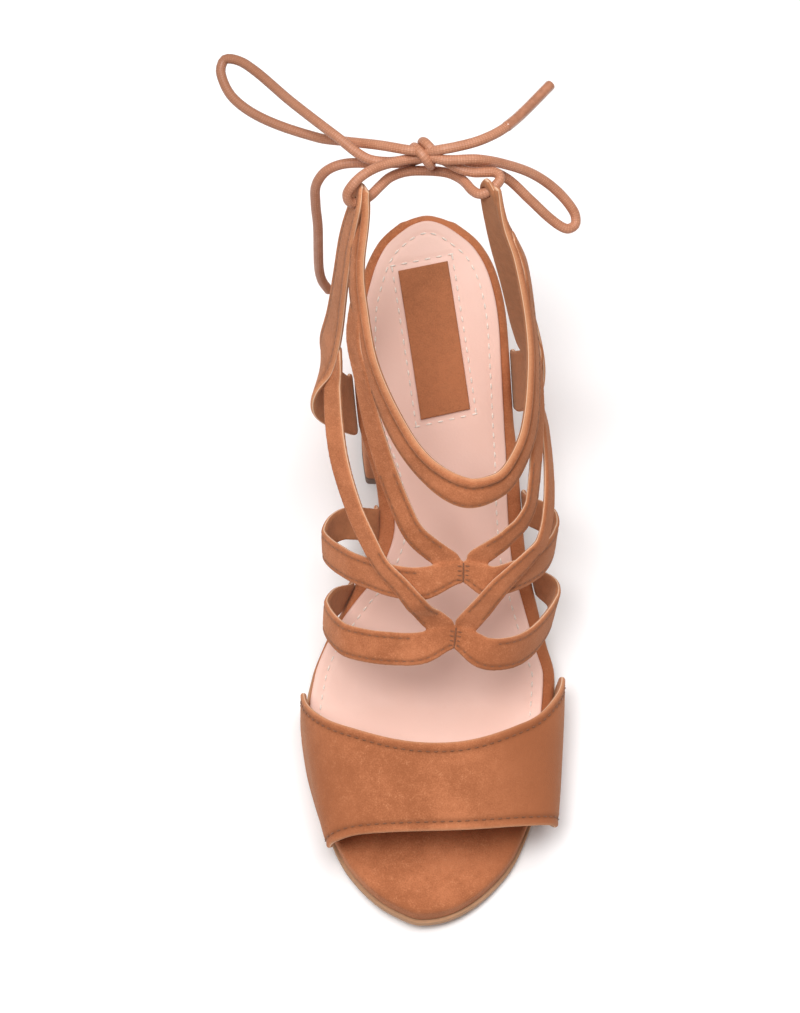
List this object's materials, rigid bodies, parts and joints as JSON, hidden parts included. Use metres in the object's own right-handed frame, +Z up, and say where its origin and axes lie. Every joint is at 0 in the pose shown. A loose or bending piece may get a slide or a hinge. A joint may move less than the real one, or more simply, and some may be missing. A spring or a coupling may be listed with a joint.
{
  "type": "block heel sandal",
  "caption": "Open-toe sandal on a covered block heel, with a wide toe band, a cage of crossing straps over the instep and a lace tied behind the ankle.",
  "frame": {"origin": "on the floor, in the middle of the flat forefoot tread", "axes": "+Z up from the floor, -Y towards the toe, +X towards the outer side of the foot"},
  "size_m": [0.1166, 0.2511, 0.1709],
  "materials": {
    "tan_suede": "suede",
    "pale_lining": "smooth lining",
    "patch_suede": "suede",
    "outsole_tan": "matt",
    "lift_rubber": "matt",
    "waxed_lace": "waxed cord",
    "aglet_film": "clear film"
  },
  "bodies": {
    "root": {"outsole": "outsole_tan", "insole_board": "tan_suede", "sock": "pale_lining", "heel_patch": "patch_suede", "heel_block": "tan_suede", "heel_lift": "lift_rubber", "toe_band": "tan_suede", "strap_cage": "tan_suede", "lace_bars": "waxed_lace", "lace_knot": "waxed_lace", "lace_loop_medial": "waxed_lace", "lace_loop_lateral": "waxed_lace", "lace_end_medial": "waxed_lace", "lace_end_lateral": "waxed_lace", "lace_aglet": "aglet_film"}
  },
  "joints": []
}
